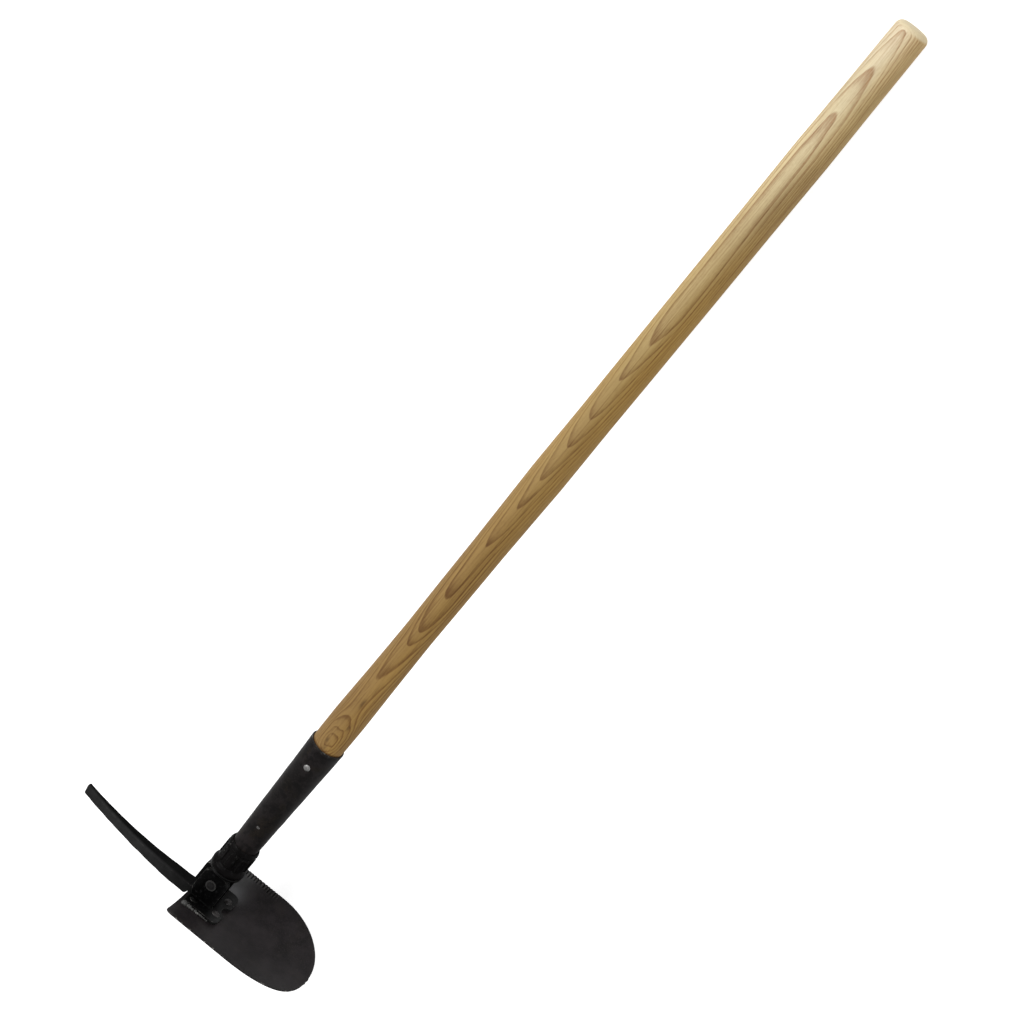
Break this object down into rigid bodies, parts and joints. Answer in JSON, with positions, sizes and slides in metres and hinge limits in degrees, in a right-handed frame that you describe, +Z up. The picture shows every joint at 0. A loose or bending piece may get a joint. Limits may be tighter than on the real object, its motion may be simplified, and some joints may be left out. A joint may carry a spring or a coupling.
{
  "type": "combination fire tool",
  "caption": "Long ash-handled hand tool whose dished shovel blade and curved pick fold on one hinge pin and are locked by a screwed nut on the socket.",
  "frame": {"origin": "middle of the bounding box at ground level", "axes": "tool lying on its side: +Z up, +X along the handle from the head to the butt, -Y the shovel blade's side, +Y the pick's side"},
  "size_m": [1.2276, 0.331, 0.1521],
  "materials": {
    "ash_wood": "worn clear coat over straight ash grain",
    "black_paint": "satin black paint, worn at edges",
    "dark_steel": "blackened steel, oily",
    "rivet_steel": "bright worn steel"
  },
  "bodies": {
    "handle": {"wood_handle": "ash_wood", "socket": "black_paint", "handle_rivet": "rivet_steel", "rivet_burr": "rivet_steel", "yoke": "dark_steel", "yoke_pin": "black_paint"},
    "thrust_washer": {"thrust_washer": "dark_steel"},
    "lock_nut": {"lock_nut": "black_paint"},
    "pick": {"pick": "black_paint", "hinge_pin": "dark_steel", "pin_washer_near": "dark_steel", "pin_washer_far": "dark_steel"},
    "blade": {"blade": "black_paint", "blade_bracket": "black_paint", "bracket_rivet_1": "dark_steel", "bracket_rivet_2": "dark_steel", "bracket_rivet_3": "dark_steel", "bracket_rivet_4": "dark_steel", "weld_bead_near": "black_paint", "weld_bead_far": "black_paint"}
  },
  "joints": [
    {"name": "nut_travel", "type": "slide", "parent": "handle", "child": "thrust_washer", "axis": [0.9988, 0, -0.049], "range_m": [-0.0032, 0.01]},
    {"name": "nut_spin", "type": "hinge", "parent": "thrust_washer", "child": "lock_nut", "pos_m": [-0.57527, -0.01539, 0.07533], "axis": [0.9988, 0, -0.049], "range_deg": [-386, 1202]},
    {"name": "pick_hinge", "type": "hinge", "parent": "handle", "child": "pick", "pos_m": [-0.57527, -0.01539, 0.07533], "axis": [0.049, 0, 0.9988], "range_deg": [-90, 0]},
    {"name": "blade_hinge", "type": "hinge", "parent": "pick", "child": "blade", "pos_m": [-0.57527, -0.01539, 0.07533], "axis": [0.049, 0, 0.9988], "range_deg": [0, 90]}
  ],
  "couplings": [
    {"joint": "nut_spin", "follows": "nut_travel", "rad_per_m": 2094.4}
  ]
}
